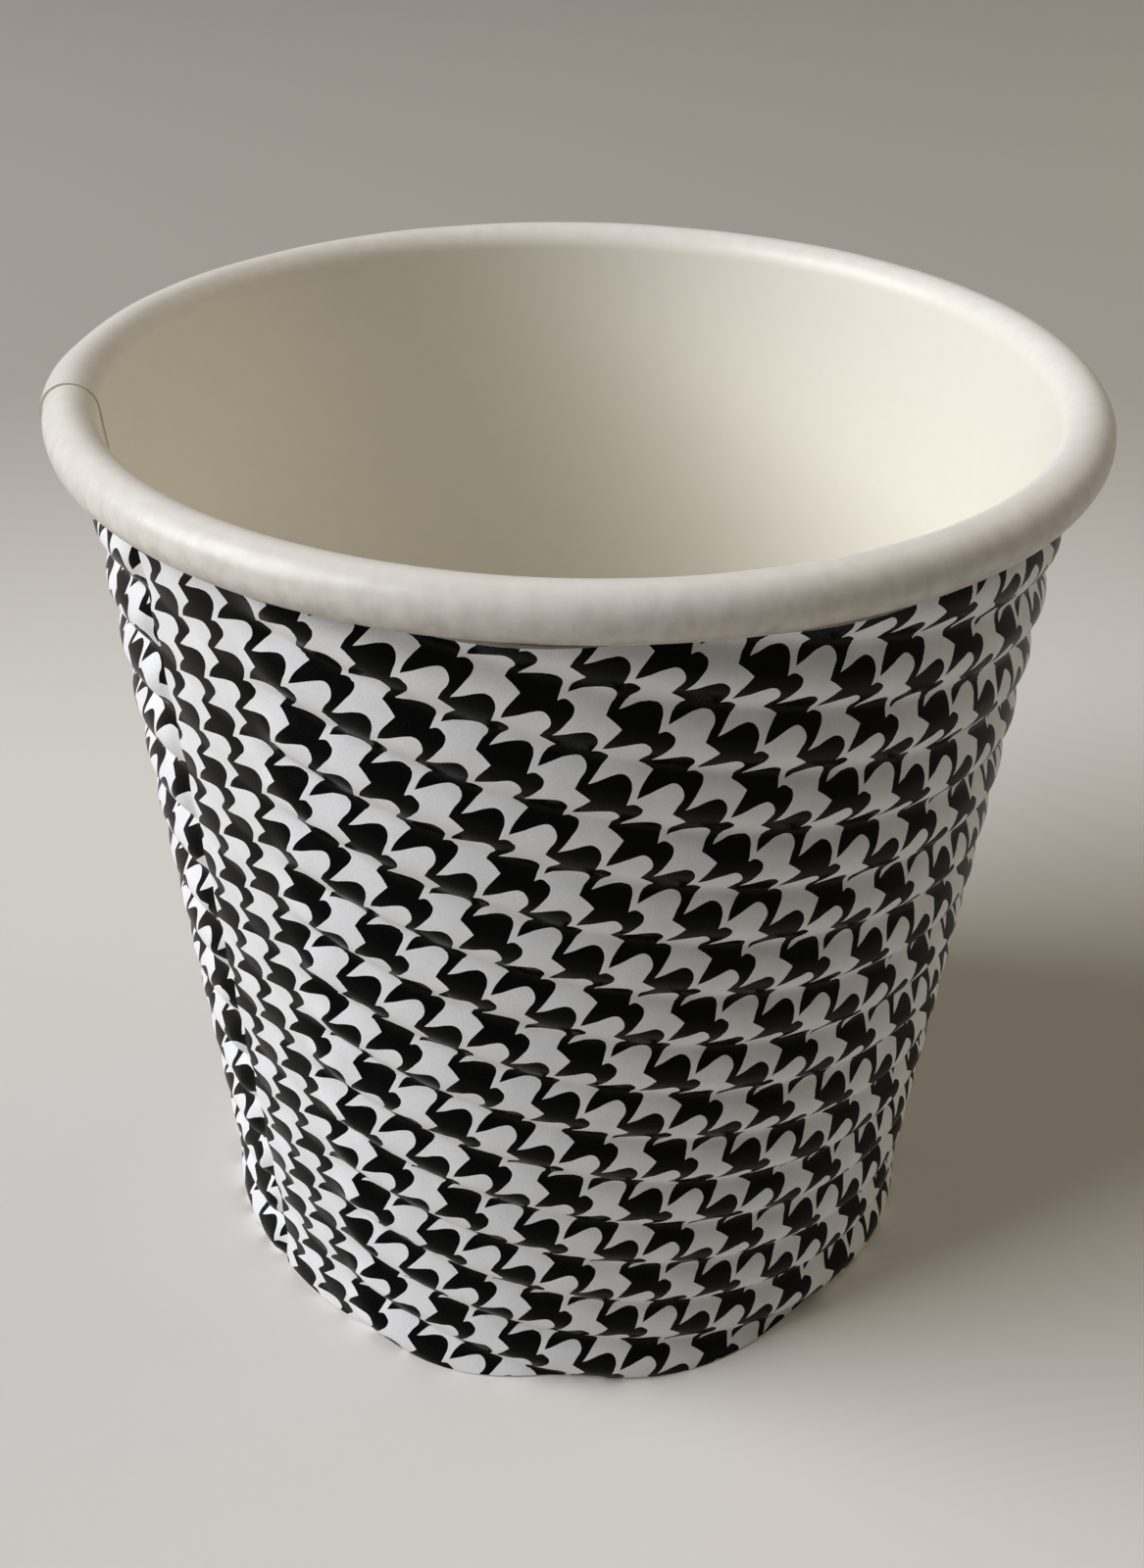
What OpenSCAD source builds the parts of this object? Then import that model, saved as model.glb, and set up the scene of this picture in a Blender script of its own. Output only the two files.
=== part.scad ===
// Ripple paper espresso cup: a conical paper wall with a rolled rim, a bottom disc held in the
// folded foot, and a printed ripple sleeve glued around the wall.
// Millimetres, +Z up, origin on the table at the cup's axis, the front of the cup towards -Y.

/* [Cup wall] */
// Outer diameter over the rolled rim
rim_d = 62; // [58:0.5:80]
// Height from the table to the top of the rim
cup_h = 61; // [48:0.5:80]
// Outer diameter of the wall at the foot
base_d = 47; // [38:0.5:50]
// Thickness of the wall's paper
wall_t = 0.3; // [0.2:0.05:0.5]
// Diameter of the rolled rim
roll_d = 3.1; // [2.6:0.1:4]
// Angle left open under the roll, between its free edge and the wall
roll_open = 45; // [40:5:90]

/* [Side seam] */
// Width of the wall's lapped side seam
seam_w = 6; // [3:0.5:10]
// Step of the pressed seam above the wall's paper
seam_t = 0.2; // [0.05:0.05:0.3]
// Place of the seam around the cup, in degrees from the front
seam_turn = -84; // [-170:1:170]

/* [Bottom] */
// Height of the bottom's upper face above the table
disc_h = 6.6; // [5:0.2:12]
// Thickness of the bottom's paper
disc_t = 0.3; // [0.2:0.05:0.5]
// Inside radius of the bend between the disc and its skirt
bend_r = 0.6; // [0.3:0.1:1.2]
// Distance from the hem's edge up to the disc
hem_gap = 1; // [0.5:0.1:2]
// Clearance on each side of the skirt in the folded foot
fit_gap = 0.05; // [0.02:0.01:0.1]
// Depth of the flat pressed on the underside of the fold
foot_flat = 0.05; // [0.02:0.01:0.1]

/* [Ripple sleeve] */
// Thickness of the sleeve's paper
sleeve_t = 0.3; // [0.2:0.05:0.4]
// Distance from one flute to the next, across the flutes
flute_pitch = 3.81; // [3.5:0.01:6]
// Depth of the flutes from crest to valley
flute_depth = 0.85; // [0.4:0.05:1.2]
// Slant of the flutes at the front, falling to the right
flute_slant = 13.65; // [0:0.05:16]
// Height of one flute's crest at the front
crest_h = 25.6; // [20:0.1:30]
// Distance from the table to the sleeve's lower edge
sleeve_foot = 0.5; // [0.3:0.1:3]
// Distance from the sleeve's upper edge to the rolled rim
sleeve_head = 0.3; // [0.2:0.1:3]
// Glue line between the sleeve's valleys and the wall
glue_gap = 0.05; // [0.02:0.01:0.1]
// Width of the sleeve's glued overlap
overlap_w = 7; // [4:0.5:10]
// Place of the overlap around the cup, in degrees from the front
overlap_turn = -45; // [-170:1:170]
// Length over which the flutes fade into the pressed overlap
fade_w = 3; // [2:0.5:10]

/* [Hidden] */
$fn = 96;

rim_r = rim_d / 2;
roll_r = roll_d / 2;

// The folded foot: the wall turns under and up again, with the skirt on the fold's middle line
fold_in = disc_t / 2 + fit_gap;
fold_r = fold_in + wall_t;
fold_c = [base_d / 2 - fold_r, fold_r - foot_flat];

// The wall's slant puts the roll at the rim's diameter and height
roll_c = [rim_r - roll_r, cup_h - roll_r];
roll_x = fold_in + roll_r;
reach = roll_c - fold_c;
slant = atan2(reach.x, reach.y) - asin(roll_x / norm(reach));
roll_y = sqrt(reach * reach - roll_x * roll_x);

// Radius of the wall's outer face at height z, and the slanted length at which x reaches height z
function wall_r(z) = fold_c.x + fold_r / cos(slant) + (z - fold_c.y) * tan(slant);
function along(x, z) = (z - fold_c.y + x * sin(slant)) / cos(slant);
function across(x, y) = fold_c.x + x * cos(slant) + y * sin(slant);

// The disc's bend touches the disc's underside and the skirt's inner face
bend_x = -disc_t / 2 - bend_r;
bend_z = disc_h - disc_t - bend_r;
bend_y = along(bend_x, bend_z);
weld = 0.01;
hem_y = along(-fold_r, disc_h - disc_t - hem_gap);

seam_angle = seam_w / rim_r * 180 / PI;
seam_y = along(fold_in, disc_h + fit_gap);

// The sleeve's middle surface on a cone, with the flat blank's radius and angle
around = 35;
per_flute = 5;
swell = 1 / cos(180 / around);
mid_gap = glue_gap + sleeve_t / 2 + flute_depth / 2;
cone_r = wall_r(0) + mid_gap / cos(slant);
apex_z = -cone_r / tan(slant);
low_rho = (sleeve_foot + sleeve_t / 2 - apex_z) / cos(slant);
top_rho = (cup_h - roll_d - sleeve_head - sleeve_t / 2 - apex_z) / cos(slant);
crest_rho = (crest_h - apex_z) / cos(slant);
half_lap = overlap_w / 2 / wall_r(cup_h / 2) * 180 / PI;
fade = fade_w / wall_r(cup_h / 2) * 180 / PI;
edge_turn = 0.25;
edge_room = 0.3;

// Slant of the flutes against the cup's round at angle a, and the flutes counted from the crest
function lean(a) = a * sin(slant) - flute_slant;
function flutes(rho, a) = (rho * cos(lean(a)) - crest_rho * cos(flute_slant)) / flute_pitch;
function flute_rho(n, a) = (n * flute_pitch + crest_rho * cos(flute_slant)) / cos(lean(a));
function ease(u) = u <= 0 ? 0 : u >= 1 ? 1 : u * u * (3 - 2 * u);

// Columns around the sleeve: angle, wave, rest of the flat sheet, outer and inner face of the sheet,
// and the angle whose flutes the rows follow. The sheet's first end lies over its last end.
flat_rest = -flute_depth / 2;
span = 180 - half_lap;
middle_turn = overlap_turn + 180;
half_t = sleeve_t / 2;
columns = concat(
    [for (i = [0 : around])
        let (b = -span + 2 * span * i / around, a = middle_turn + b)
        [a, ease((span - abs(b)) / fade), flat_rest + (b < 0 ? sleeve_t : 0), half_t, -half_t, a]],
    [for (end = [[span + edge_turn, span], [180, span], [180 + half_lap - edge_turn, -span]])
        [middle_turn + end[0], 0, flat_rest, half_t + sleeve_t, -half_t, middle_turn + end[1]]]);
total = len(columns);
first_row = [for (c = columns) ceil(flutes(low_rho, c[5]) * per_flute + edge_room)];
last_row = [for (c = columns) floor(flutes(top_rho, c[5]) * per_flute - edge_room)];
counts = [for (i = [0 : total - 1]) last_row[i] - first_row[i] + 3];
starts = [for (i = 0, s = 0; i < total; s = s + counts[i], i = i + 1) s];
layer = starts[total - 1] + counts[total - 1];

// Point of one face: the flat cone, the wave along its normal, and half the paper square to the sheet
function sheet_point(c, rho, side) =
    let (
        phase = 360 * flutes(rho, c[5]),
        wave = c[1] * flute_depth / 2,
        lift = wave * cos(phase) + (1 - c[1]) * c[2],
        steep = -wave * sin(phase) * 2 * PI / flute_pitch,
        out = c[side] / sqrt(1 + steep * steep),
        round_step = out * steep * sin(lean(c[5])),
        up_step = -out * steep * cos(lean(c[5])),
        r = (rho * sin(slant) + (lift + out) * cos(slant) + up_step * sin(slant)) * swell,
        z = apex_z + rho * cos(slant) - (lift + out) * sin(slant) + up_step * cos(slant)
    )
    [r * sin(c[0]) + round_step * cos(c[0]), -r * cos(c[0]) + round_step * sin(c[0]), z];

function column_points(i, side) =
    let (c = columns[i])
    concat(
        [sheet_point(c, low_rho, side)],
        [for (n = [first_row[i] : last_row[i]]) sheet_point(c, flute_rho(n / per_flute, c[5]), side)],
        [sheet_point(c, top_rho, side)]);

// Triangles between two neighbouring columns: strips along shared flutes, fans where rows run out
function fan(hub, rim) = [for (k = [0 : len(rim) - 2]) [hub, rim[k], rim[k + 1]]];
function flip(faces) = [for (f = faces) [f[0], f[2], f[1]]];
function run(from, to) = from > to ? [] : [for (k = [from : to]) k];

function strip(i, j, joined) =
    let (
        skew = joined ? first_row[i] - first_row[j] : 0,
        low_i = first_row[i],
        low_j = first_row[j] + skew,
        high_i = last_row[i],
        high_j = last_row[j] + skew,
        low = max(low_i, low_j),
        high = min(high_i, high_j),
        a = starts[i] + 1 - low_i,
        b = starts[j] + 1 - low_j,
        foot_i = starts[i],
        foot_j = starts[j],
        head_i = starts[i] + counts[i] - 1,
        head_j = starts[j] + counts[j] - 1
    )
    concat(
        low_i < low_j
            ? fan(foot_j, concat([foot_i], run(a + low_i, a + low), [b + low]))
            : flip(fan(foot_i, concat([foot_j], run(b + low_j, b + low), [a + low]))),
        [for (n = [low : high - 1]) each
            [[a + n, a + n + 1, b + n + 1], [a + n, b + n + 1, b + n]]],
        high_i > high_j
            ? fan(head_j, concat([b + high], run(a + high, a + high_i), [head_i]))
            : flip(fan(head_i, concat([a + high], run(b + high, b + high_j), [head_j]))));

// Paper edges at the foot and head of the sleeve, between the outer and the inner face
function edges(i, j) =
    let (
        p = starts[i],
        q = starts[j],
        s = p + counts[i] - 1,
        t = q + counts[j] - 1
    )
    [[p, q, q + layer], [p, q + layer, p + layer], [t, s, s + layer], [t, s + layer, t + layer]];

module in_slant() {
    translate(fold_c) rotate(-slant) children();
}

module sector(from, to, size) {
    polygon([[0, 0], size * [cos(from), sin(from)], size * 2 * [cos((from + to) / 2), sin((from + to) / 2)],
        size * [cos(to), sin(to)]]);
}

module ring_part(outer, inner, from, to) {
    intersection() {
        difference() {
            circle(r = outer);
            circle(r = inner);
        }
        sector(from, to, outer * 2);
    }
}

// The roll's section as two arcs, from the wall over the top and under to its free edge
module roll_section(outer) {
    translate([roll_x, roll_y]) {
        ring_part(outer, roll_r - wall_t, 30, 180);
        ring_part(outer, roll_r - wall_t, roll_open - 180, 31);
    }
}

module cup_wall() {
    color("ivory") {
        rotate_extrude()
            intersection() {
                in_slant() {
                    translate([fold_in, 0]) square([wall_t, roll_y]);
                    translate([-fold_r, 0]) square([wall_t, hem_y]);
                    ring_part(fold_r, fold_in, 180, 360);
                    roll_section(roll_r);
                }
                square([rim_d, cup_h * 2]);
            }
        rotate([0, 0, seam_turn - 90 - seam_angle / 2])
            rotate_extrude(angle = seam_angle)
                in_slant() {
                    translate([fold_in - seam_t, seam_y]) square([wall_t, roll_y - seam_y]);
                    roll_section(roll_r + seam_t);
                }
    }
}

module bottom_disc() {
    color("wheat")
        rotate_extrude() {
            translate([0, disc_h - disc_t]) square([across(bend_x, bend_y) + weld, disc_t]);
            in_slant() {
                translate([bend_x, bend_y]) ring_part(bend_r + disc_t, bend_r, 0, 90 + slant);
                translate([-disc_t / 2, 0]) square([disc_t, bend_y]);
            }
        }
}

module ripple_sleeve() {
    outer_faces = [for (i = [0 : total - 1])
        each strip(i, (i + 1) % total, i == total - 2)];
    inner_faces = [for (f = flip(outer_faces)) f + [layer, layer, layer]];
    edge_faces = [for (i = [0 : total - 1]) each edges(i, (i + 1) % total)];
    color("dimgray")
        polyhedron(
            points = concat(
                [for (i = [0 : total - 1]) each column_points(i, 3)],
                [for (i = [0 : total - 1]) each column_points(i, 4)]),
            faces = concat(outer_faces, inner_faces, edge_faces),
            convexity = 8);
}

cup_wall();
bottom_disc();
ripple_sleeve();
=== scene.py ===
import math

import bmesh
import bpy
import numpy as np
from mathutils import Matrix, Vector

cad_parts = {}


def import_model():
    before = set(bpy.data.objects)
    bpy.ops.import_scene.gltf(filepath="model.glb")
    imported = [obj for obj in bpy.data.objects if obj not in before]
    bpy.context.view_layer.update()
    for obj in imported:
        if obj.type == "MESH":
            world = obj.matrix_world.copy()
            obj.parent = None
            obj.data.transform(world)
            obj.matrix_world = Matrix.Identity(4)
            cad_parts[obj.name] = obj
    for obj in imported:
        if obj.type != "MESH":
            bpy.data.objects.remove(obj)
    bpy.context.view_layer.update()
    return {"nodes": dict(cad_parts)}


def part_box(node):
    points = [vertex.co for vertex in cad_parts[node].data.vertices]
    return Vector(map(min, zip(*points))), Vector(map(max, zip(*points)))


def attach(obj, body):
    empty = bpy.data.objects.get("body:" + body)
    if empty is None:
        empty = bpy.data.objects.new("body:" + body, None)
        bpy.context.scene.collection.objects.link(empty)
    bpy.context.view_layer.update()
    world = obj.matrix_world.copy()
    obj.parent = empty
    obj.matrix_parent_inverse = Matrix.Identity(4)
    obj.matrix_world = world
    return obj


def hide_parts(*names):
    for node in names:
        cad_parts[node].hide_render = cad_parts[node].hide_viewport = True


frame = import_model()

# Looks of a ripple paper espresso cup: the conical wall with its rolled rim and lapped seam, the
# bottom disc in the folded foot, and the corrugated sleeve with its houndstooth print.
# Angles around the cup are counted from the front, which faces -Y, and grow towards +X.

MM = 0.001
TURN = 2 * math.pi

# Sizes of the cup: the roll leaves an angle open, and the fold's underside is pressed flat
RIM_R = 31 * MM
CUP_H = 61 * MM
BASE_R = 23.5 * MM
WALL_T = 0.3 * MM
ROLL_R = 1.55 * MM
ROLL_OPEN = math.radians(45)
DISC_H = 6.6 * MM
DISC_T = 0.3 * MM
HEM_GAP = 1 * MM
FIT_GAP = 0.05 * MM
FOOT_FLAT = 0.05 * MM

# Lapped side seam: the sheet rises over the width and stays up for a flat share of it. The step starts
# above the disc with a share of its height, and grows to the whole between two shares of the roll.
SEAM_AT = math.radians(-79)
SEAM_W = 6 * MM
SEAM_T = 0.2 * MM
SEAM_FLAT = 0.6
SEAM_START = 1 * MM
SEAM_INSIDE = 0.5
SEAM_GROWS = (0.15, 0.65)

# Unevenness of the roll: waves around the rim as count, height and phase
ROLL_WAVES = ((5, 1.0, 0.4), (11, 0.8, 2.1), (23, 0.6, 4.0))
ROLL_UNEVEN = 0.012 * MM
UNEVEN_START = 3 * MM

# Flutes of the ripple sleeve: a crest's height at the front, and their drop in pitches at the inner end
SLEEVE_T = 0.3 * MM
FLUTE_PITCH = 3.81 * MM
FLUTE_DEPTH = 0.85 * MM
FLUTE_SLANT = math.radians(13.65)
CREST_H = 25.6 * MM
VALLEY_ROUND = 0.25
FAR_DROP = 0.34
GLUE_GAP = 0.05 * MM

# Overlap of the sleeve: the flutes fade out towards it, and leave creases, as a share of their depth
OVERLAP_W = 7 * MM
OVERLAP_AT = math.radians(-45)
FADE_OUTER = 3 * MM
FADE_INNER = 1.5 * MM
CREASE = 0.16
CREASE_ROUND = 0.08

# Edges of the sleeve: distances of its middle layer from the table and from its solid's top
FOOT_EDGE = 0.15 * MM
HEAD_EDGE = 0.15 * MM
FOOT_FADE = 4 * MM
FOOT_FLARE = 0.4 * MM

# Print: the motif's two repeats on the flat sheet, as lengths and angles against the flutes
REPEAT_U = (3.672 * MM, math.radians(-49.68))
REPEAT_V = (3.474 * MM, math.radians(37.70))
SHEET_STRETCH = 1.1164
PRINT_SHIFT = (1.465, 2.1386)
PRINT_CREST_H = 27 * MM

# Grids of the sheets: the sleeve's columns are closer near its ends, for some half widths of the overlap
FOOT_POINTS = 6
FOLD_POINTS = 13
WALL_POINTS = 40
ROLL_POINTS = 48
WALL_COLUMNS = 241
OUTER_COLUMNS = 40
FLUTED_COLUMNS = 121
INNER_COLUMNS = 21
END_ZONE = 3
SLEEVE_ROWS = 241
WELD = 1e-4 * MM
SHARP = math.radians(50)

# Camera of the photograph's view
CAMERA_AT = (0, -100.32 * MM, 96.02 * MM)
CAMERA_TILT = 0.57432
CAMERA_PAN = -0.0009
CAMERA_ROLL = 0.01584
CAMERA_LENS = 40.138
CAMERA_SENSOR = 36
CAMERA_NEAR = 5 * MM

# Light and backdrop
LAMP_TARGET = Vector((0, 0, CUP_H / 2))
WINDOW_LIGHT = (0.98, 0.985, 1.01)
ROOM_LIGHT = (1.0, 0.87, 0.69)
ROOM_STRENGTH = 0.03
BACKDROP = (0.28, 0.27, 0.245, 1)

# Floor, in metres: the brightest place of its painted pool of light, and the distances over which
# painted shade darkens it and then it fades out
FLOOR_REACH = 3.0
FLOOR_CENTRE = (0, -0.06, 0)
LIT_AND_SHADED_FLOOR_TONES = ((0.80, 0.78, 0.74, 1), (0.46, 0.44, 0.40, 1))
PAINTED_SHADE_SPAN = (0.11, 0.25)
FADE_SPAN = (0.45, 1.1)

# Section of the cup: the folded foot, the slanted wall and the rolled rim
FOLD_IN = DISC_T / 2 + FIT_GAP
FOLD_R = FOLD_IN + WALL_T
FOLD_C = np.array([BASE_R - FOLD_R, FOLD_R - FOOT_FLAT])
ROLL_C = np.array([RIM_R - ROLL_R, CUP_H - ROLL_R])
ROLL_X = FOLD_IN + ROLL_R
REACH = ROLL_C - FOLD_C
SLANT = math.atan2(REACH[0], REACH[1]) - math.asin(ROLL_X / np.linalg.norm(REACH))
ROLL_Y = math.sqrt(REACH @ REACH - ROLL_X ** 2)


# Geometry

def wall_r(z):
    """Outer radius of the wall at a height."""
    return FOLD_C[0] + FOLD_R / math.cos(SLANT) + (z - FOLD_C[1]) * math.tan(SLANT)


def ease(x):
    """Smooth step from 0 to 1."""
    x = np.clip(x, 0, 1)
    return x * x * (3 - 2 * x)


def line(start, end, count):
    share = np.linspace(0, 1, count)[:, None]
    return np.array(start) * (1 - share) + np.array(end) * share


def arc(centre, radius, start, end, count):
    angle = np.linspace(start, end, count)
    return np.array(centre) + radius * np.stack([np.cos(angle), np.sin(angle)], axis=1)


def from_slant(points):
    """Radius and height of points given across and along the slanted wall."""
    x, y = points.T
    radius = FOLD_C[0] + x * math.cos(SLANT) + y * math.sin(SLANT)
    height = FOLD_C[1] - x * math.sin(SLANT) + y * math.cos(SLANT)
    return np.stack([radius, height], axis=1)


def turned(radius, height, angle):
    """Points at a radius and a height, turned around the cup's axis."""
    coordinates = np.broadcast_arrays(radius * np.sin(angle), -radius * np.cos(angle), height)
    return np.stack(coordinates, axis=-1)


def turned_normals(section, angle):
    """Normals to the left of a turned path, which is the drink's side of the wall."""
    along = np.gradient(section, axis=0)
    along /= np.linalg.norm(along, axis=1, keepdims=True)
    return turned(-along[None, :, 1], along[None, :, 0], angle[:, None])


def sheet_normals(points):
    """Normals of an open grid of columns and rows, pointing to the sheet's front."""
    normal = np.cross(np.gradient(points, axis=0), np.gradient(points, axis=1))
    return normal / np.linalg.norm(normal, axis=-1, keepdims=True)


def weld(mesh):
    """Joins points that coincide, and drops the faces that have no area."""
    work = bmesh.new()
    work.from_mesh(mesh)
    bmesh.ops.remove_doubles(work, verts=work.verts, dist=WELD)
    work.to_mesh(mesh)
    work.free()


def quads(*corners):
    return np.stack([c.ravel() for c in corners], axis=1)


def paper(name, front, back, uv, materials, closed):
    """A sheet of paper from the grids of its two faces. Materials: front, back and cut edges."""
    columns, rows = front.shape[:2]
    size = columns * rows
    grid = np.arange(size).reshape(columns, rows)
    here = grid if closed else grid[:-1]
    there = np.roll(grid, -1, axis=0) if closed else grid[1:]

    front_faces = quads(here[:, :-1], there[:, :-1], there[:, 1:], here[:, 1:])
    back_faces = front_faces[:, ::-1] + size
    edge_faces = [
        quads(there[:, 0], here[:, 0], here[:, 0] + size, there[:, 0] + size),
        quads(here[:, -1], there[:, -1], there[:, -1] + size, here[:, -1] + size),
    ]
    if not closed:
        edge_faces += [
            quads(grid[0, :-1], grid[0, 1:], grid[0, 1:] + size, grid[0, :-1] + size),
            quads(grid[-1, 1:], grid[-1, :-1], grid[-1, :-1] + size, grid[-1, 1:] + size),
        ]
    edge_faces = np.concatenate(edge_faces)
    faces = np.concatenate([front_faces, back_faces, edge_faces])
    is_front, is_back, is_edge = range(3)
    counts = [len(front_faces), len(back_faces), len(edge_faces)]
    kinds = np.repeat([is_front, is_back, is_edge], counts)
    if closed:
        # The front's last strip, which closes the ring, is the step of the lap and shows the cut edge
        kinds[len(front_faces) - rows + 1:len(front_faces)] = is_edge

    mesh = bpy.data.meshes.new(name)
    points = np.concatenate([front.reshape(-1, 3), back.reshape(-1, 3)])
    mesh.from_pydata(points.tolist(), [], faces.tolist())
    layer = mesh.uv_layers.new(name="sheet")
    corner_uv = np.concatenate([uv.reshape(-1, 2)] * 2)[faces.ravel()]
    layer.data.foreach_set("uv", corner_uv.astype(np.float32).ravel())
    for material in materials:
        mesh.materials.append(material)
    mesh.polygons.foreach_set("material_index", kinds.astype(np.int32))
    weld(mesh)
    mesh.shade_smooth()
    mesh.set_sharp_from_angle(angle=SHARP)
    piece = bpy.data.objects.new(name, mesh)
    bpy.context.scene.collection.objects.link(piece)
    return piece


# Nodes of the materials

def add(tree, kind, inputs=None, **settings):
    """A node with its settings, and its inputs as values or as sockets to link."""
    node = tree.nodes.new(kind)
    for name, value in settings.items():
        setattr(node, name, value)
    for name, value in (inputs or {}).items():
        if isinstance(value, bpy.types.NodeSocket):
            tree.links.new(value, node.inputs[name])
        else:
            node.inputs[name].default_value = value
    return node


def new_material(name, **values):
    """A material with values set on its shader's own sockets."""
    material = bpy.data.materials.new(name)
    material.use_nodes = True
    tree = material.node_tree
    shader = tree.nodes["Principled BSDF"]
    for socket, value in values.items():
        shader.inputs[socket.replace("_", " ")].default_value = value
    return material, tree, shader


def object_place(tree):
    return add(tree, "ShaderNodeTexCoord").outputs["Object"]


def sheet_place(tree):
    return add(tree, "ShaderNodeUVMap", uv_map="sheet").outputs["UV"]


def math_node(tree, operation, first, second=0.0):
    node = add(tree, "ShaderNodeMath", {0: first, 1: second}, operation=operation)
    return node.outputs[0]


def noise(tree, where, scale, detail):
    node = add(tree, "ShaderNodeTexNoise", {"Vector": where, "Scale": scale, "Detail": detail})
    return node.outputs["Fac"]


def mix(tree, share, first, second):
    """Number between two numbers, on the Mix node's sockets for numbers."""
    node = add(tree, "ShaderNodeMix", {0: share, 2: first, 3: second})
    return node.outputs[0]


def tint(tree, share, first, second):
    """Colour between two colours, on the Mix node's sockets for colours."""
    node = add(tree, "ShaderNodeMix", {0: share, 6: first, 7: second}, data_type="RGBA")
    return node.outputs[2]


def span(tree, value, source, target=(0.0, 1.0), style="LINEAR"):
    """Value carried from one range to another, and held at its ends."""
    inputs = {
        "Value": value,
        "From Min": source[0],
        "From Max": source[1],
        "To Min": target[0],
        "To Max": target[1],
    }
    return add(tree, "ShaderNodeMapRange", inputs, interpolation_type=style).outputs["Result"]


def bump(tree, shader, height, distance, strength):
    node = add(tree, "ShaderNodeBump", {"Height": height, "Distance": distance, "Strength": strength})
    tree.links.new(node.outputs["Normal"], shader.inputs["Normal"])


# Coated paper: pairs of tones and of roughness, and the stretches from the roll's start over which the
# wall's tones give way to those of the roll's crown, mottled and made lighter with painted light, and
# these to those of its outer side, made darker with painted shade
WALL_TONES = ((0.873, 0.838, 0.75, 1), (0.883, 0.85, 0.765, 1))
CROWN_LIGHT_TONES = ((0.855, 0.82, 0.765, 1), (0.91, 0.885, 0.83, 1))
OUTER_SHADE_TONES = ((0.455, 0.405, 0.356, 1), (0.61, 0.567, 0.513, 1))
CROWN_SPAN = (0.0, 1 * MM)
OUTER_SHADE_SPAN = (2.4 * MM, 5.2 * MM)
WALL_ROUGH = (0.5, 0.46)
ROLL_ROUGH = (0.36, 0.32)
COAT_IOR = 1.48
COAT_DETAIL = 4.0
FIBRE_SCALE = (1500, 1000, 1)
CLOUD_SCALE = 900
CLOUD_SHARE = 0.65
MOTTLE_SPAN = (0.37, 0.63)
DENT_SCALE = 320
DENT_DETAIL = 1.0
DENT_DEPTH = 0.04 * MM
DENT_STRENGTH = 0.6


def coated_paper():
    """White coated paper, calm on the wall and mottled over the roll, with painted light on the roll's
    crown and painted shade on its outer side.
    """
    material, tree, shader = new_material("coated_paper", IOR=COAT_IOR)
    place = object_place(tree)
    sheet = sheet_place(tree)
    stretched = add(tree, "ShaderNodeMapping", {"Vector": sheet, "Scale": FIBRE_SCALE}).outputs[0]
    fibres = noise(tree, stretched, 1.0, COAT_DETAIL)
    clouds = noise(tree, place, CLOUD_SCALE, COAT_DETAIL)
    dents = noise(tree, place, DENT_SCALE, DENT_DETAIL)
    mottle = mix(tree, CLOUD_SHARE, fibres, clouds)
    share = span(tree, mottle, MOTTLE_SPAN)

    along = add(tree, "ShaderNodeSeparateXYZ", {0: sheet}).outputs["Y"]
    on_roll = span(tree, along, CROWN_SPAN)
    outwards = span(tree, along, OUTER_SHADE_SPAN)
    calm = tint(tree, share, *WALL_TONES)
    # Painted light lightens the roll's crown, and painted shade darkens its outer side
    crown = tint(tree, share, *CROWN_LIGHT_TONES)
    outer_shade = tint(tree, share, *OUTER_SHADE_TONES)
    colour = tint(tree, outwards, tint(tree, on_roll, calm, crown), outer_shade)
    tree.links.new(colour, shader.inputs["Base Color"])

    wall_rough = span(tree, mottle, MOTTLE_SPAN, WALL_ROUGH)
    roll_rough = span(tree, mottle, MOTTLE_SPAN, ROLL_ROUGH)
    tree.links.new(mix(tree, on_roll, wall_rough, roll_rough), shader.inputs["Roughness"])
    bump(tree, shader, math_node(tree, "MULTIPLY", dents, on_roll), DENT_DEPTH, DENT_STRENGTH)
    return material


# Raw paper: pairs of tones for the wall's cut edges, the sleeve's inside and the bottom
EDGE_TONES = ((0.68, 0.61, 0.50, 1), (0.80, 0.75, 0.65, 1))
INSIDE_TONES = ((0.70, 0.67, 0.62, 1), (0.78, 0.76, 0.72, 1))
BOTTOM_TONES = ((0.78, 0.74, 0.67, 1), (0.84, 0.81, 0.75, 1))
RAW_SCALE = 1500
RAW_DETAIL = 5.0
RAW_SPAN = (0.3, 0.7)
RAW_ROUGH = (0.75, 0.9)
RAW_DEPTH = 0.04 * MM
RAW_STRENGTH = 0.6


def raw_paper(name, tones):
    """Uncoated paper with rough fibres."""
    material, tree, shader = new_material(name)
    fibres = noise(tree, object_place(tree), RAW_SCALE, RAW_DETAIL)
    colour = tint(tree, span(tree, fibres, RAW_SPAN), *tones)
    tree.links.new(colour, shader.inputs["Base Color"])
    tree.links.new(span(tree, fibres, RAW_SPAN, RAW_ROUGH), shader.inputs["Roughness"])
    bump(tree, shader, fibres, RAW_DEPTH, RAW_STRENGTH)
    return material


# Edges of the dark figure in one repeat of the print, as points (across, down): the upper edge runs
# from a small tip over a notch to a tall tip, and the lower one between two white tips.
# The third value says that the edge has a corner there.
UPPER_EDGE = [
    (0.00, 0.670, 0), (0.08, 0.676, 0), (0.16, 0.640, 0), (0.25, 0.490, 0), (0.34, 0.368, 1),
    (0.48, 0.430, 0), (0.61, 0.470, 1), (0.68, 0.300, 0), (0.75, 0.170, 0), (0.855, 0.050, 1),
    (0.87, 0.240, 0), (0.895, 0.500, 0), (0.94, 0.630, 0), (1.00, 0.670, 0)]
LOWER_EDGE = [
    (0.00, 1.030, 0), (0.05, 1.044, 0), (0.13, 1.000, 0), (0.22, 0.840, 0), (0.355, 0.560, 1),
    (0.38, 0.700, 0), (0.41, 0.920, 0), (0.47, 1.060, 0), (0.57, 1.106, 0), (0.68, 1.075, 0),
    (0.78, 0.985, 0), (0.89, 0.875, 1), (0.91, 0.970, 0), (0.95, 1.010, 0), (1.00, 1.030, 0)]
LOWEST_EDGE = 2

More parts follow.
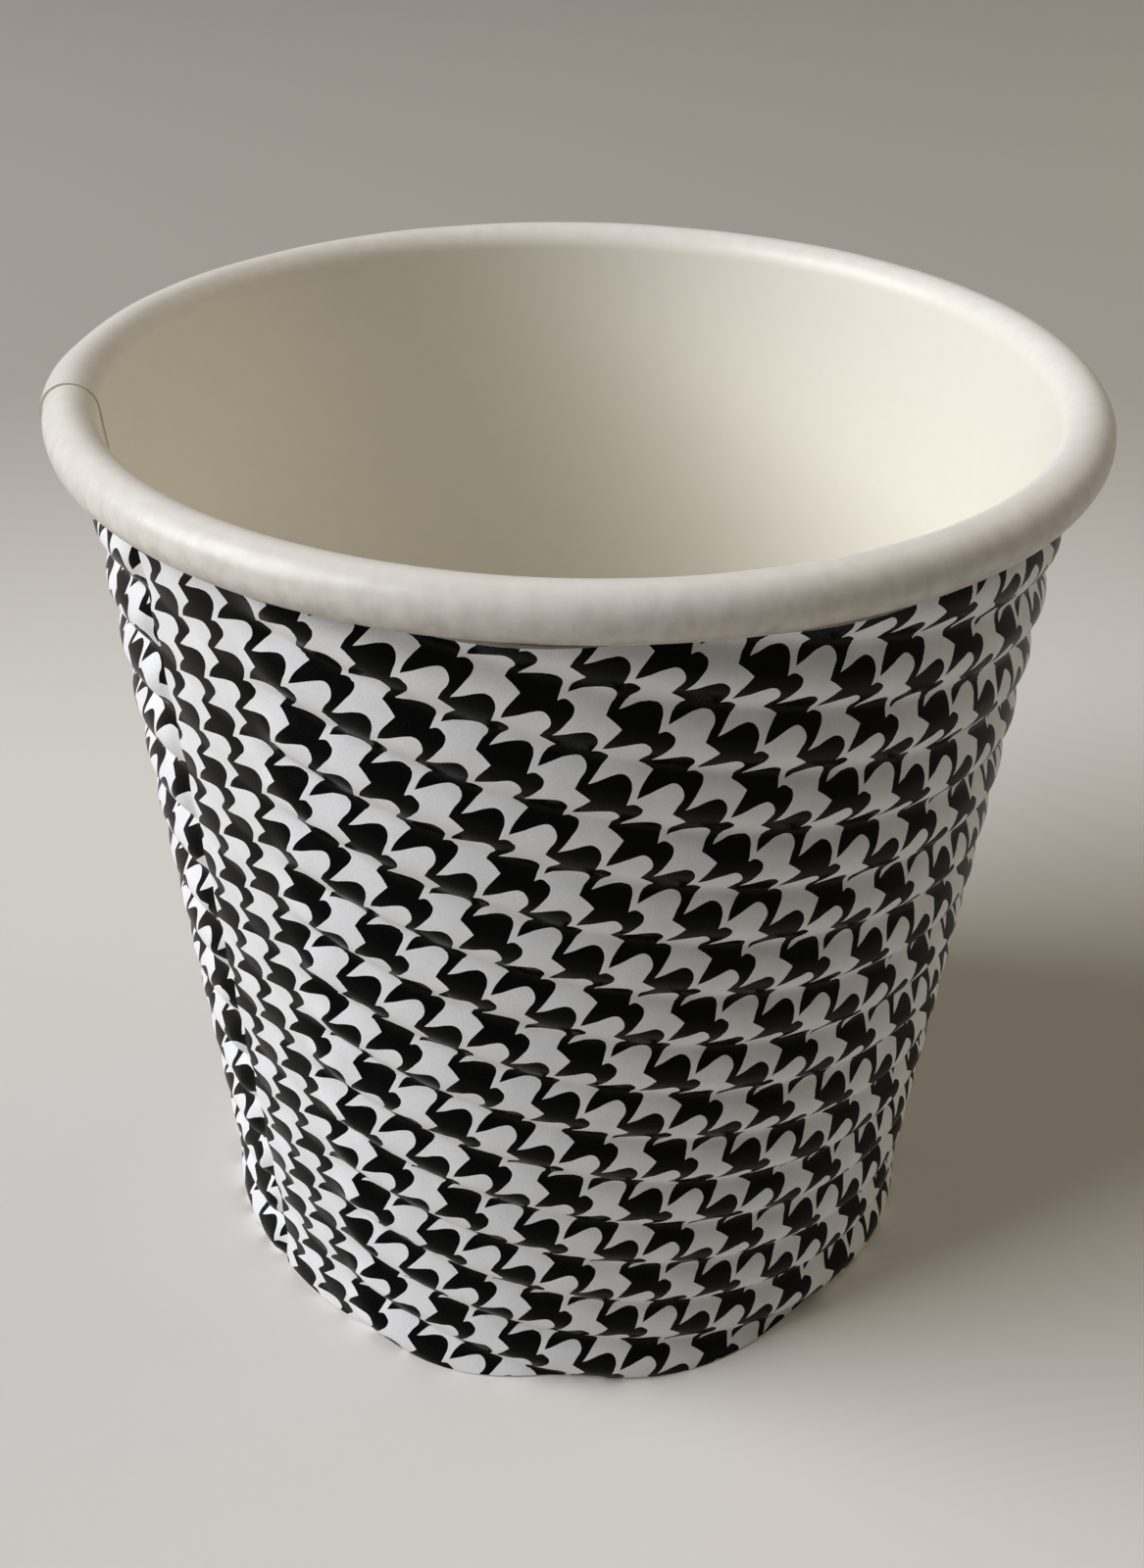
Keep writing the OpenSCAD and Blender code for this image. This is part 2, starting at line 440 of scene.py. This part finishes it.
# Printed paper: pairs of tones and of roughness of its white and its ink
WHITE_TONES = ((0.735, 0.738, 0.748, 1), (0.845, 0.852, 0.868, 1))
INK_TONES = ((0.001, 0.001, 0.001, 1), (0.003, 0.003, 0.003, 1))
WHITE_ROUGH = (0.48, 0.6)
INK_ROUGH = (0.2, 0.34)
PRINT_GLOSS = 0.06
PATCH_SCALE = 500
PATCH_DETAIL = 4.0
GRAIN_SCALE = 9000
GRAIN_DETAIL = 2.0
GRAIN_SHARE = 0.5
GRAIN_SPAN = (0.3, 0.7)
SPECKLE_SPAN = (0.35, 0.65)
GRAIN_DEPTH = 0.012 * MM
GRAIN_STRENGTH = 0.5


def edge_curve(tree, across, points):
    """Curve node through the points of an edge."""
    node = add(tree, "ShaderNodeFloatCurve", {"Value": across})
    mapping = node.mapping
    mapping.clip_max_y = LOWEST_EDGE
    curve = mapping.curves[0]
    while len(curve.points) < len(points):
        curve.points.new(0.5, 0.5)
    for point, (x, y, corner) in zip(curve.points, points):
        point.location = (x, y)
        point.handle_type = "VECTOR" if corner else "AUTO"
    mapping.update()
    return node.outputs["Value"]


def printed_paper():
    """White paper with the dark figure printed between its two edges in every repeat."""
    material, tree, shader = new_material("printed_paper", Specular_IOR_Level=PRINT_GLOSS)
    place = object_place(tree)
    cell = add(tree, "ShaderNodeSeparateXYZ", {0: sheet_place(tree)}).outputs
    across = math_node(tree, "FRACT", cell["X"])
    upper = edge_curve(tree, across, UPPER_EDGE)
    lower = edge_curve(tree, across, LOWER_EDGE)
    below = math_node(tree, "FRACT", math_node(tree, "SUBTRACT", cell["Y"], upper))
    ink = math_node(tree, "LESS_THAN", below, math_node(tree, "SUBTRACT", lower, upper))

    patches = noise(tree, place, PATCH_SCALE, PATCH_DETAIL)
    grain = noise(tree, place, GRAIN_SCALE, GRAIN_DETAIL)
    speckle = mix(tree, GRAIN_SHARE, patches, grain)
    white = tint(tree, span(tree, speckle, SPECKLE_SPAN), *WHITE_TONES)
    black = tint(tree, patches, *INK_TONES)
    tree.links.new(tint(tree, ink, white, black), shader.inputs["Base Color"])

    white_rough = span(tree, grain, GRAIN_SPAN, WHITE_ROUGH)
    ink_rough = span(tree, grain, GRAIN_SPAN, INK_ROUGH)
    tree.links.new(mix(tree, ink, white_rough, ink_rough), shader.inputs["Roughness"])
    bump(tree, shader, grain, GRAIN_DEPTH, GRAIN_STRENGTH)
    return material


# The three sheets

def roll_unevenness(angle):
    """Slight unevenness of the rolled paper, always inwards."""
    waves = sum(height * (1 + np.sin(count * angle + phase)) for count, height, phase in ROLL_WAVES)
    return ROLL_UNEVEN * waves


def cup_wall(materials):
    """The wall in one path from the hem around the fold, up and over the roll, turned about the axis."""
    mid = FOLD_IN + WALL_T / 2
    hem_low = DISC_H - DISC_T - HEM_GAP
    hem_y = (hem_low - FOLD_C[1] - FOLD_R * math.sin(SLANT)) / math.cos(SLANT)
    disc_y = (DISC_H - FOLD_C[1]) / math.cos(SLANT)
    foot = np.concatenate([
        line((-mid, hem_y), (-mid, 0), FOOT_POINTS)[:-1],
        arc((0, 0), mid, math.pi, TURN, FOLD_POINTS)[:-1],
        line((mid, 0), (mid, disc_y), FOOT_POINTS)[:-1]])
    side = line((mid, disc_y), (mid, ROLL_Y), WALL_POINTS)[:-1]
    roll = arc((ROLL_X, ROLL_Y), ROLL_R - WALL_T / 2, math.pi, ROLL_OPEN - math.pi, ROLL_POINTS)
    path = np.concatenate([foot, side, roll])
    steps = np.linalg.norm(np.diff(path, axis=0), axis=1)
    run = np.concatenate([[0], np.cumsum(steps)])
    from_disc = run - run[len(foot)]
    from_roll = run - run[-len(roll)]

    section = from_slant(path)
    angle = np.linspace(SEAM_AT, SEAM_AT + TURN, WALL_COLUMNS)
    middle = turned(section[None, :, 0], section[None, :, 1], angle[:, None])
    normal = turned_normals(section, angle)
    lap = SEAM_W / RIM_R
    rise = SEAM_T * ease((angle - SEAM_AT - TURN + (1 + SEAM_FLAT) * lap) / lap)
    grows, grown = SEAM_GROWS
    outside = ease((from_roll / from_roll[-1] - grows) / (grown - grows))
    seam_share = ease(from_disc / SEAM_START) * (SEAM_INSIDE + (1 - SEAM_INSIDE) * outside)
    lift = rise[:, None] * seam_share[None, :]
    uneven = roll_unevenness(angle)[:, None] * ease(from_roll / UNEVEN_START)[None, :]
    front = middle + normal * (WALL_T / 2 + lift - uneven)[..., None]
    back = middle - normal * (WALL_T / 2 + uneven)[..., None]
    # The fold stands flat on the table
    for face in (front, back):
        face[..., 2] = np.maximum(face[..., 2], 0)
    uv = np.stack(np.broadcast_arrays((angle * RIM_R)[:, None], from_roll[None, :]), axis=-1)
    return paper("wall_sheet", front, back, uv, materials, closed=True)


def hump(phase, rounding):
    """Round crests between sharp valleys, from 0 to 1."""
    height = np.sqrt(np.cos(phase / 2) ** 2 + rounding ** 2)
    return (height - rounding) / (math.sqrt(1 + rounding ** 2) - rounding)


def repeat_step(repeat):
    """Step along and across the flutes from a repeat's length and angle."""
    length, angle = repeat
    return length * np.array([math.cos(angle), math.sin(angle)])


def ripple_sleeve(materials):
    """The corrugated sheet on its cone, with straight flutes on the flat blank and a pressed overlap."""
    mid_gap = GLUE_GAP + SLEEVE_T / 2 + FLUTE_DEPTH / 2
    cone_r = wall_r(0) + mid_gap / math.cos(SLANT)
    apex = -cone_r / math.tan(SLANT)

    def blank_radius(z):
        return (z - apex) / math.cos(SLANT)

    head_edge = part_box("ripple_sleeve")[1].z - HEAD_EDGE
    middle_r = wall_r(CUP_H / 2)
    half_lap = OVERLAP_W / 2 / middle_r
    end = math.pi + half_lap
    near = END_ZONE * half_lap
    from_middle = np.concatenate([
        np.linspace(-end, near - end, OUTER_COLUMNS)[:-1],
        np.linspace(near - end, end - near, FLUTED_COLUMNS)[:-1],
        np.linspace(end - near, end, INNER_COLUMNS)])[:, None]
    angle = OVERLAP_AT + math.pi + from_middle
    rho = np.linspace(blank_radius(FOOT_EDGE), blank_radius(head_edge), SLEEVE_ROWS)[None, :]

    # On the flat blank a point lies at the radius rho from the cone's tip. Its direction, lean, is
    # counted from the line that runs square across the flutes.
    lean = angle * math.sin(SLANT) - FLUTE_SLANT
    across = rho * np.cos(lean)
    flutes = (across - blank_radius(CREST_H) * math.cos(FLUTE_SLANT)) / FLUTE_PITCH
    phase = TURN * (flutes + FAR_DROP * np.clip(from_middle / end, 0, 1) ** 2)
    wave = FLUTE_DEPTH * (hump(phase, VALLEY_ROUND) - 0.5)
    # In the overlap the outer end lies on the inner one, and keeps a crease from each flute
    outer = from_middle < 0
    crease = CREASE * hump(phase, CREASE_ROUND)
    fade = np.where(outer, FADE_OUTER, FADE_INNER)
    fluted = ease((math.pi - half_lap - np.abs(from_middle)) * middle_r / fade)
    pressed = -FLUTE_DEPTH / 2 + np.where(outer, SLEEVE_T + FLUTE_DEPTH * crease, 0)
    flare = FOOT_FLARE * (1 - ease((rho - rho[:, :1]) / FOOT_FADE))
    lift = fluted * wave + (1 - fluted) * pressed + flare

    radius = rho * math.sin(SLANT) + lift * math.cos(SLANT)
    height = apex + rho * math.cos(SLANT) - lift * math.sin(SLANT)
    middle = turned(radius, height, angle)
    normal = sheet_normals(middle)
    front = middle + normal * SLEEVE_T / 2
    back = middle - normal * SLEEVE_T / 2

    along_sheet = rho * np.sin(lean)
    across_sheet = SHEET_STRETCH * (across - blank_radius(PRINT_CREST_H) * math.cos(FLUTE_SLANT))
    to_cells = np.linalg.inv(np.stack([repeat_step(REPEAT_U), repeat_step(REPEAT_V)], axis=1))
    uv = np.stack([along_sheet, across_sheet], axis=-1) @ to_cells.T + np.array(PRINT_SHIFT)
    return paper("sleeve_sheet", front, back, uv, materials, closed=False)


coated = coated_paper()
cut_edge = raw_paper("raw_paper", EDGE_TONES)
sleeve_back = raw_paper("sleeve_back", INSIDE_TONES)

wall = cup_wall([coated, coated, cut_edge])
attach(wall, "root")
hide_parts("cup_wall")

sleeve = ripple_sleeve([printed_paper(), sleeve_back, sleeve_back])
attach(sleeve, "root")
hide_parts("ripple_sleeve")

disc = frame["nodes"]["bottom_disc"]
disc.data.materials.clear()
disc.data.materials.append(raw_paper("bottom_paper", BOTTOM_TONES))


# Floor, lamps and camera

def seen_rays(tree):
    """1 for rays from the camera and in reflections, and 0 for the light that falls on things."""
    ray = add(tree, "ShaderNodeLightPath").outputs
    sharp = math_node(tree, "MAXIMUM", ray["Is Glossy Ray"], ray["Is Transmission Ray"])
    return math_node(tree, "MAXIMUM", ray["Is Camera Ray"], sharp)


def mix_shaders(tree, share, first, second, target):
    """Puts a share between two shaders on a material's or a world's output."""
    both = add(tree, "ShaderNodeMixShader", {0: share, 1: first.outputs[0], 2: second.outputs[0]})
    tree.links.new(both.outputs[0], tree.nodes[target].inputs["Surface"])


def floor():
    """A pale card with a painted pool of light, brightest in front of the cup, and painted shade that
    darkens it away from there, fading into the backdrop far away.
    """
    mesh = bpy.data.meshes.new("floor")
    low, high = -FLOOR_REACH, FLOOR_REACH
    corners = [(low, low, 0), (high, low, 0), (high, high, 0), (low, high, 0)]
    mesh.from_pydata(corners, [], [(0, 1, 2, 3)])
    material, tree, shader = new_material("floor_card", Roughness=0.8)
    ends = {0: object_place(tree), 1: FLOOR_CENTRE}
    away = add(tree, "ShaderNodeVectorMath", ends, operation="DISTANCE").outputs["Value"]
    # Painted shade darkens the card away from the painted pool of light in front of the cup
    shade = tint(tree, span(tree, away, PAINTED_SHADE_SPAN, style="SMOOTHSTEP"), *LIT_AND_SHADED_FLOOR_TONES)
    tree.links.new(shade, shader.inputs["Base Color"])
    far = span(tree, away, FADE_SPAN, style="SMOOTHSTEP")
    glow = add(tree, "ShaderNodeEmission", {"Color": BACKDROP, "Strength": 1.0})
    fading = math_node(tree, "MULTIPLY", far, seen_rays(tree))
    mix_shaders(tree, fading, shader, glow, "Material Output")
    mesh.materials.append(material)
    piece = bpy.data.objects.new("floor", mesh)
    bpy.context.scene.collection.objects.link(piece)


def lamp(name, turn, rise, distance, size, level, colour):
    """A soft lamp, turned around the cup and raised above it by angles in degrees.

    At level 1 a card that faces the lamp shows its own colour.
    """
    data = bpy.data.lights.new(name, "AREA")
    data.shape = "RECTANGLE"
    data.size, data.size_y = size
    data.energy = level * math.pi ** 2 * distance ** 2
    data.color = colour
    piece = bpy.data.objects.new(name, data)
    turn, rise = math.radians(turn), math.radians(rise)
    away = Vector((math.sin(turn) * math.cos(rise), -math.cos(turn) * math.cos(rise), math.sin(rise)))
    piece.location = away * distance + LAMP_TARGET
    piece.rotation_euler = away.to_track_quat("Z", "Y").to_euler()
    bpy.context.scene.collection.objects.link(piece)


def camera():
    """The camera at the photograph's angle."""
    data = bpy.data.cameras.new("camera")
    data.lens = CAMERA_LENS
    data.sensor_width = CAMERA_SENSOR
    data.clip_start = CAMERA_NEAR
    piece = bpy.data.objects.new("camera", data)
    piece.matrix_world = (
        Matrix.Translation(CAMERA_AT)
        @ Matrix.Rotation(-CAMERA_PAN, 4, "Z")
        @ Matrix.Rotation(math.pi / 2 - CAMERA_TILT, 4, "X")
        @ Matrix.Rotation(CAMERA_ROLL, 4, "Z"))
    bpy.context.scene.collection.objects.link(piece)
    bpy.context.scene.camera = piece


def world():
    """A dim warm room, which shows as a plain pale backdrop."""
    data = bpy.data.worlds.new("room")
    data.use_nodes = True
    tree = data.node_tree
    dim = tree.nodes["Background"]
    dim.inputs["Color"].default_value = (*ROOM_LIGHT, 1)
    dim.inputs["Strength"].default_value = ROOM_STRENGTH
    backdrop = add(tree, "ShaderNodeBackground", {"Color": BACKDROP, "Strength": 1.0})
    mix_shaders(tree, seen_rays(tree), dim, backdrop, "World Output")
    bpy.context.scene.world = data


floor()
lamp("window", turn=-79, rise=36, distance=1.4, size=(1.0, 1.0), level=1.18, colour=WINDOW_LIGHT)
lamp("room", turn=112, rise=40, distance=0.8, size=(0.8, 0.6), level=0.26, colour=ROOM_LIGHT)
camera()
world()
bpy.context.scene.view_settings.view_transform = "Standard"
